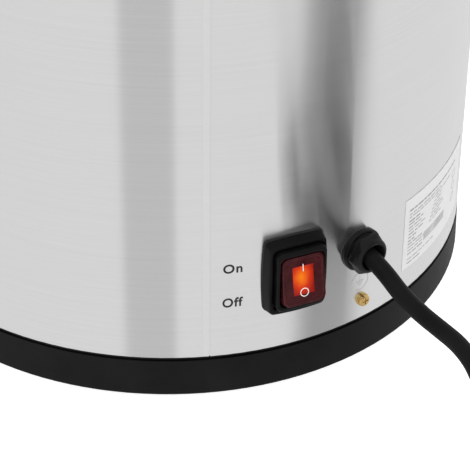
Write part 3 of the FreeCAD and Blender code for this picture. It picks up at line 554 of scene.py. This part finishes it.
# Each layer of the switch sits a little off the opening's centre, by these amounts along u and v.
GASKET_SHIFT, SURROUND_SHIFT, LIP_SHIFT = (-0.6, -0.9), (-0.6, -1.0), (-0.35, -0.6)
RIM_SHIFT, COVER_SHIFT = (-0.05, -0.6), (0.15, -0.6)
OPENING = rounded_loop(12.1, 14.9, 1.2)
COVER_FACE = ROCKER_FACE + 1.2
# The cover's window: half its width, half its height and the height of its middle.
WINDOW_U, WINDOW_V, WINDOW_MIDDLE = 5.5, 7.6, -0.7
LENS_GAP = 0.03


def skirt(loop, lift, du=0.0, dv=0.0):
    """The loop dropped to a curved face that stands lift outside the casing."""
    return [(u + du, v + dv, math.sqrt((SHELL_RADIUS + lift) ** 2 - (u + du) ** 2) - SHELL_RADIUS)
            for u, v in loop]


def level(loop, w, du=0.0, dv=0.0):
    return [(u + du, v + dv, w) for u, v in loop]


def make_gasket():
    outline = rounded_loop(15.3, 20.3, 2.2, 1.0)
    edge = rounded_loop(15.1, 20.1, 2.1, 1.0)
    loops = [skirt(outline, 0.02, *GASKET_SHIFT), skirt(outline, 1.0, *GASKET_SHIFT),
             skirt(edge, 1.2, *GASKET_SHIFT), skirt(OPENING, 1.2), skirt(OPENING, 0.02)]
    finish_piece(lofted("gasket", loops, on_switch), "gasket", "foot_rubber", "kettle",
                 ["switch_gasket"])


def make_surround():
    """The black surround: bowed sides, a rounded lip and a recess round the rim."""
    sides = [(14.55, 19.5, 1.8, 1.0, 3.4), (14.25, 19.15, 1.8, 0.9, 5.6), (14.12, 19.02, 1.9, 0.9, 5.95),
             (13.95, 18.8, 1.9, 0.8, 6.15)]
    recess = rounded_loop(13.45, 17.4, 3.0)
    loops = [skirt(rounded_loop(15.0, 20.0, 1.8, 1.1), 1.3, *SURROUND_SHIFT)]
    loops += [level(rounded_loop(*size), w, *SURROUND_SHIFT) for *size, w in sides]
    loops += [
        level(rounded_loop(13.65, 17.8, 2.6, 0.2), 6.2, *LIP_SHIFT),
        level(rounded_loop(13.5, 17.45, 3.0), 6.05, *LIP_SHIFT), level(recess, 5.8, *LIP_SHIFT),
        level(recess, 4.4, *LIP_SHIFT), level(OPENING, 4.4), skirt(OPENING, 1.3),
    ]
    finish_piece(lofted("switch_surround", loops, on_switch), "switch_surround", "switch_black",
                 "kettle", ["switch_frame"])


def make_rim():
    rim = [(12.8, 16.6, 3.2, 4.45), (12.9, 16.7, 3.2, 8.3), (12.8, 16.6, 3.2, 8.9), (12.5, 16.3, 3.1, 9.35),
           (12.15, 15.9, 3.0, 9.55), (11.75, 14.9, 2.9, 9.6), (11.45, 14.4, 2.9, 9.4),
           (11.32, 14.15, 2.9, 9.0), (11.3, 14.1, 2.9, 4.45)]
    loops = [level(rounded_loop(*size), w, *RIM_SHIFT) for *size, w in rim]
    finish_piece(lofted("switch_rim", loops, on_switch), "switch_rim", "switch_black", "kettle",
                 ["switch_bezel"])


def make_cover():
    """The splash cover's raised border and sunk field, open at the window that the lens fills."""
    low, high = ROCKER_FACE, COVER_FACE
    border = [(10.9, 12.8, 3.4, low), (10.9, 12.8, 3.4, high - 0.35), (10.75, 12.65, 3.3, high - 0.1),
              (10.4, 12.3, 3.1, high), (9.6, 11.5, 2.6, high), (9.3, 11.2, 2.4, high - 0.12),
              (9.1, 11.0, 2.3, high - 0.34)]
    loops = [level(rounded_loop(*size, side=10), w, *COVER_SHIFT) for *size, w in border]
    window = [(u, v + WINDOW_MIDDLE) for u, v in rounded_loop(WINDOW_U, WINDOW_V, 0.12, side=10)]
    loops += [level(window, high - 0.34), level(window, low)]
    finish_piece(lofted("splash_cover", loops, on_rocker), "splash_cover", "rocker_red", "rocker",
                 ["switch_membrane"])


def make_lens():
    """The lit lens: a grid that follows the face's fold, with walls from its lower edge to the rocker."""
    columns, rows = 12, 24
    wide = columns + 1

    def lens_point(i, j, w):
        return on_rocker((2 * i / columns - 1) * (WINDOW_U - LENS_GAP),
                         WINDOW_MIDDLE + (2 * j / rows - 1) * (WINDOW_V - LENS_GAP), w)

    points = []
    for j in range(rows + 1):
        for i in range(columns + 1):
            at_edge = i in (0, columns) or j in (0, rows)
            points.append(lens_point(i, j, COVER_FACE - (0.55 if at_edge else 0.36)))
    faces = [(j * wide + i, j * wide + i + 1, (j + 1) * wide + i + 1, (j + 1) * wide + i)
             for j in range(rows) for i in range(columns)]
    edge = list(range(wide)) + [j * wide + columns for j in range(1, rows + 1)]
    edge += [rows * wide + i for i in range(columns - 1, -1, -1)] + [j * wide for j in range(rows - 1, 0, -1)]
    count, turn = len(points), len(edge)
    for index in edge:
        j, i = divmod(index, wide)
        points.append(lens_point(i, j, ROCKER_FACE))
    faces += [(edge[k], count + k, count + (k + 1) % turn, edge[(k + 1) % turn]) for k in range(turn)]
    faces.append(tuple(range(count, count + turn)))
    finish_piece(new_mesh("lit_lens", points, faces), "lit_lens", "rocker_glow", "rocker",
                 ["switch_lens"], 60.0)


def make_rocker_marks():
    """The usual I and O marks for on and off, printed on the rocker."""
    lift = COVER_FACE - 0.3
    half = 0.2
    points, faces = [], []

    def ribbon(line, closed=False):
        """A thin raised line through (u, v) points."""
        first = len(points)
        n = len(line)
        for k, (u, v) in enumerate(line):
            before = line[k - 1] if (k or closed) else line[k]
            after = line[(k + 1) % n] if (k < n - 1 or closed) else line[k]
            du, dv = after[0] - before[0], after[1] - before[1]
            size = math.hypot(du, dv)
            nu, nv = -dv / size * half, du / size * half
            for side, w in ((1, lift - 0.1), (1, lift), (-1, lift), (-1, lift - 0.1)):
                points.append(on_rocker(u + side * nu, v + side * nv, w))
        for k in range(n if closed else n - 1):
            a, b = first + 4 * k, first + 4 * ((k + 1) % n)
            faces.extend((a + m, a + (m + 1) % 4, b + (m + 1) % 4, b + m) for m in range(4))
        if not closed:
            faces.extend(tuple(end + m for m in range(4)) for end in (first, first + 4 * n - 4))

    ribbon([(0.0, 3.9 + 0.5 * k) for k in range(9)])
    ribbon([(0.1 + 2.05 * math.cos(math.radians(9 * k)), -7.2 + 2.05 * math.sin(math.radians(9 * k)))
            for k in range(40)], True)
    finish_piece(new_mesh("rocker_marks", points, faces), "rocker_marks", "mark_white", "rocker", ())


make_gasket()
make_surround()
make_rim()
make_cover()
make_lens()
make_rocker_marks()


# ---------------------------------------------------------------- cable gland

def make_gland():
    def on_gland(u, v, w):
        return wall_point(GLAND_ANGLE, GLAND_HEIGHT, u, v, w)

    count = 96

    def circle(radius, w):
        return [(radius * math.cos(2 * math.pi * k / count), radius * math.sin(2 * math.pi * k / count), w)
                for k in range(count)]

    def hexagonal(flat, limit, w):
        """A hexagon with its corners cut back to a circle of radius limit."""
        loop = []
        for k in range(count):
            angle = 2 * math.pi * k / count
            within = angle % (math.pi / 3) - math.pi / 6
            radius = min(flat / 2 / math.cos(within), limit)
            loop.append((radius * math.cos(angle), radius * math.sin(angle), w))
        return loop

    flange = [circle(r, w) for r, w in ((7.0, -0.2), (11.2, -0.2), (11.3, 0.2), (11.3, 1.3), (11.1, 1.75),
                                        (10.6, 2.0), (9.4, 2.05), (9.25, 2.3), (9.2, 3.05), (7.0, 3.05))]
    # The flange's back follows the casing.
    for loop in flange[:2]:
        loop[:] = [(u, v, math.sqrt((SHELL_RADIUS + 0.05) ** 2 - u * u) - SHELL_RADIUS) for u, v, _ in loop]
    finish_piece(lofted("gland_flange", flange, on_gland), "gland_flange", "gland_black", "kettle",
                 ["gland_body"])

    nut = [circle(7.2, 3.1), hexagonal(19.0, 10.6, 3.1), hexagonal(19.4, 11.1, 3.5),
           hexagonal(19.4, 11.1, 5.6), hexagonal(19.0, 10.5, 6.5), hexagonal(18.3, 9.75, 7.5)]
    nut += [circle(r, w) for r, w in ((9.25, 8.1), (8.95, 8.7), (8.5, 9.15), (7.9, 9.42), (7.4, 9.48),
                                      (7.0, 9.35), (6.5, 8.6), (5.75, 6.6), (5.6, 5.2), (5.6, 3.1))]
    finish_piece(lofted("gland_dome", nut, on_gland), "gland_dome", "gland_black", "kettle",
                 ["gland_nut"], 28.0)


make_gland()


# ---------------------------------------------------------------- print on the casing

def printed_mesh(name, shapes, place, thickness=0.05, base=0.03):
    """Thin raised patches: each shape is a closed outline of (u, v) points."""
    points, faces = [], []
    for outline in shapes:
        first, n = len(points), len(outline)
        for w in (base, base + thickness):
            points += [place(u, v, w) for u, v in outline]
        for a, b, c in tessellate_polygon([[Vector((u, v, 0)) for u, v in outline]]):
            faces += [(first + a, first + b, first + c), (first + n + a, first + n + b, first + n + c)]
        faces += [(first + k, first + (k + 1) % n, first + n + (k + 1) % n, first + n + k) for k in range(n)]
    return new_mesh(name, points, faces)


def bar(u0, u1, v0, v1, pieces=1):
    """A bar's outline, with its long sides divided so that it follows the casing's curve."""
    along = [u0 + (u1 - u0) * k / pieces for k in range(pieces + 1)]
    return [(u, v0) for u in along] + [(u, v1) for u in reversed(along)]


def band(centre, radius, half, steps=48):
    """Quads that make a circle of line width 2 * half."""
    shapes = []
    for k in range(steps):
        a0, a1 = (math.radians(360 * (k + s) / steps) for s in (0, 1))
        inner, outer = radius - half, radius + half
        shapes.append([(centre[0] + r * math.cos(a), centre[1] + r * math.sin(a))
                       for r, a in ((inner, a0), (outer, a0), (outer, a1), (inner, a1))])
    return shapes


def make_word(text, left_angle, right_angle, baseline, cap_height, name):
    """A word printed on the casing in Blender's own font, fitted between two angles."""
    data = bpy.data.curves.new(name, "FONT")
    data.body = text
    data.size = 10.0
    data.offset = 0.22
    data.space_character = 1.12
    data.extrude = 0.02
    data.resolution_u = 6
    holder = bpy.data.objects.new(name + "_text", data)
    bpy.context.scene.collection.objects.link(holder)
    bpy.context.view_layer.update()
    mesh = bpy.data.meshes.new_from_object(holder.evaluated_get(bpy.context.evaluated_depsgraph_get()))
    bpy.data.objects.remove(holder)
    low_u, high_u = min(v.co.x for v in mesh.vertices), max(v.co.x for v in mesh.vertices)
    high_v = max(v.co.y for v in mesh.vertices)
    arc = math.radians(right_angle - left_angle) * SHELL_RADIUS
    place = curved_place(left_angle, baseline)
    for vertex in mesh.vertices:
        u = (vertex.co.x - low_u) / (high_u - low_u) * arc
        v = vertex.co.y / high_v * cap_height
        vertex.co = place(u, v, 0.05 + vertex.co.z)
    mesh.materials.clear()
    finish_piece(mesh, name, "ink_black", "kettle")


make_word("On", 68.9, 72.35, 75.2, 5.0, "mark_on")
make_word("Off", 68.8, 72.5, 55.2, 5.2, "mark_off")


def make_earth_mark():
    """The usual protective-earth sign in a circle, in pale grey print above the bonding screw."""
    shapes = band((0, 0), 5.3, 0.16)
    shapes += [bar(-0.16, 0.16, 0.2, 3.1)]
    shapes += [bar(-half, half, v - 0.16, v + 0.16, 4) for half, v in ((2.6, 0.1), (1.7, -1.1), (0.8, -2.3))]
    mesh = printed_mesh("earth_mark", shapes, curved_place(96.4, 49.3))
    finish_piece(mesh, "earth_mark", "ink_faint", "kettle")


make_earth_mark()


def make_label_print():
    """Grey bars in place of the label's wording, a plain bar pattern and three empty outlines."""
    thickness, base = 0.03, 0.17
    rng = random.Random(7)
    height = LABEL_TOP - LABEL_BOTTOM

    def words(left, right, top, tall, gap=0.9):
        row, u = [], left
        while u < right - 1.5:
            wide = min(rng.uniform(2.0, 6.5), right - u)
            row.append(bar(u, u + wide, height - top - tall, height - top, 4))
            u += wide + gap
        return row

    shapes = words(4, 58, 7.0, 1.0, 0.7)
    shapes += words(4, 36, 9.6, 0.55) + words(4, 50, 11.4, 0.55)
    for k in range(11):
        shapes += words(4, rng.uniform(9, 22), 13.6 + 2.0 * k, rng.choice((0.5, 0.7, 0.9)))
    for k in range(7):
        shapes += words(30 - k, rng.uniform(38, 46) - k, 13.2 + 1.9 * k, 0.5)
    shapes += words(4, 30, 37.0, 0.5) + words(4, 18, 39.2, 0.6)
    place = curved_place(LABEL_START, LABEL_BOTTOM)
    finish_piece(printed_mesh("label_wording", shapes, place, thickness, base),
                 "label_wording", "ink_grey", "kettle", ())

    u, code = 19.0, []
    while u < 43.0:
        wide = rng.choice((0.3, 0.3, 0.6, 0.9))
        code.append(bar(u, u + wide, height - 33.5, height - 28.5))
        u += wide + rng.choice((0.3, 0.3, 0.6))
    icons = []
    left, right = 54.7, 59.3
    for top in (15.0, 29.0):
        low, high = height - top - 2.3, height - top + 2.3
        inner_low, inner_high = low + 0.4, high - 0.4
        icons += [bar(left, right, inner_high, high, 2), bar(left, right, low, inner_low, 2),
                  bar(left, left + 0.4, inner_low, inner_high), bar(right - 0.4, right, inner_low, inner_high)]
    icons += band((57, height - 22.0), 2.3, 0.25)
    finish_piece(printed_mesh("label_code", code + icons, place, thickness, base),
                 "label_code", "ink_pale", "kettle", ())


make_label_print()


def make_dial_marks():
    """Plain marks round the control knob, one every 30 degrees from off, with every third one longer."""
    shapes = []
    for k in range(10):
        sine, cosine = math.sin(math.radians(30 * k)), math.cos(math.radians(30 * k))
        inner, outer, half = (24.2, 29.0, 0.5) if k % 3 == 0 else (24.8, 27.4, 0.3)
        shapes.append([(r * sine + side * cosine, r * cosine - side * sine)
                       for r, side in ((inner, -half), (outer, -half), (outer, half), (inner, half))])
    mesh = printed_mesh("dial_marks", shapes, curved_place(KNOB_ANGLE, KNOB_HEIGHT), 0.05, 0.5)
    finish_piece(mesh, "dial_marks", "pointer_white", "kettle", ())


make_dial_marks()


def make_seam():
    """The dressed weld beside the lap seam: a strip 3 mm wide with low, sloped edges."""
    rows = 60
    bottom, top = SHELL_BOTTOM + 0.3, SHELL_TOP - 9.0
    profile = [(-1.5, -0.1), (-1.5, 0.02), (-1.25, 0.05), (1.25, 0.05), (1.5, 0.02), (1.5, -0.1)]
    loops = [[(u, (top - bottom) * k / rows, lift) for u, lift in profile] for k in range(rows + 1)]
    place = curved_place(SEAM_ANGLE - 0.7, bottom)
    finish_piece(lofted("weld_strip", loops, place, False), "weld_strip", "weld_steel", "kettle", ())


make_seam()


# ---------------------------------------------------------------- cord and plug

cord.data.materials.append(LOOKS["cord_rubber"].material)
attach(cord, "kettle")
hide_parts("power_cord", "cord_coil", "plug_lead")


# ---------------------------------------------------------------- stage, light and output

def make_stage():
    mesh = new_mesh("floor", [(-4, -4, 0), (4, -4, 0), (4, 4, 0), (-4, 4, 0)], [(0, 1, 2, 3)])
    look = Look("floor", grey(0.93), 0.9)
    look.put("Emission Color", grey(1.0))
    look.put("Emission Strength", 0.75)
    mesh.materials.append(look.material)
    floor = bpy.data.objects.new("floor", mesh)
    # The casing mirrors the screens in place of the floor, so that its bands run straight down.
    floor.visible_glossy = False
    bpy.context.scene.collection.objects.link(floor)


# Plain white screens stand all round the kettle, and the gaps between them are darker. Each gap has a compass
# direction and half its width, in degrees, the width of its soft edges and its brightness.
SCREEN_LEVEL = 0.82
SCREEN_GAPS = [(53, 7, 2, 0.62), (112, 7, 7, 0.4), (-60, 8, 4, 0.55), (-115, 6, 6, 0.45)]
SCREEN_RADIUS = 0.45
SCREEN_BOTTOM, SCREEN_TOP = -1.5, 0.9


def make_screens():
    """The screens and their gaps: one glowing wall round the kettle, which shows only in reflections."""
    count = 180
    turns = [2 * math.pi * k / count for k in range(count)]
    points = [(SCREEN_RADIUS * math.cos(a), SCREEN_RADIUS * math.sin(a), z)
              for z in (SCREEN_BOTTOM, SCREEN_TOP) for a in turns]
    mesh = new_mesh("screens", points, ring_faces(2, count, False))
    look = Look("screens", grey(0.0), 1.0, Specular_IOR_Level=0.0)
    parts = look.node("ShaderNodeSeparateXYZ", {"Vector": look.place}).outputs
    turn = look.math("ARCTAN2", parts["Y"], parts["X"])
    around = look.spread(turn, -math.pi, math.pi, 0.0, 1.0)
    stops = []
    for middle, half, edge, level in SCREEN_GAPS:
        stops += [(middle - half - edge, SCREEN_LEVEL), (middle - half, level), (middle + half, level),
                  (middle + half + edge, SCREEN_LEVEL)]
    stops = sorted(((direction + 180) / 360, grey(level)) for direction, level in stops)
    look.put("Emission Color", look.ramp(around, stops))
    look.put("Emission Strength", 1.0)
    mesh.materials.append(look.material)
    screens = bpy.data.objects.new("screens", mesh)
    bpy.context.scene.collection.objects.link(screens)
    for ray in ("camera", "diffuse", "transmission", "shadow"):
        setattr(screens, "visible_" + ray, False)


def make_world():
    world = bpy.data.worlds.new("studio")
    bpy.context.scene.world = world
    world.use_nodes = True
    background = world.node_tree.nodes["Background"]
    background.inputs["Color"].default_value = (0.93, 0.93, 0.93, 1)
    background.inputs["Strength"].default_value = 1.0


def make_light():
    data = bpy.data.lights.new("overhead", "AREA")
    data.shape = "RECTANGLE"
    data.size, data.size_y = 1.6, 1.2
    data.energy = 4.0
    light = bpy.data.objects.new("overhead", data)
    light.location = (0.9, 0.7, 1.7)
    light.rotation_euler = (Vector((0, 0.1, 0.1)) - light.location).to_track_quat("-Z", "Y").to_euler()
    bpy.context.scene.collection.objects.link(light)


make_stage()
make_screens()
make_world()
make_light()
bpy.context.scene.view_settings.view_transform = "Standard"
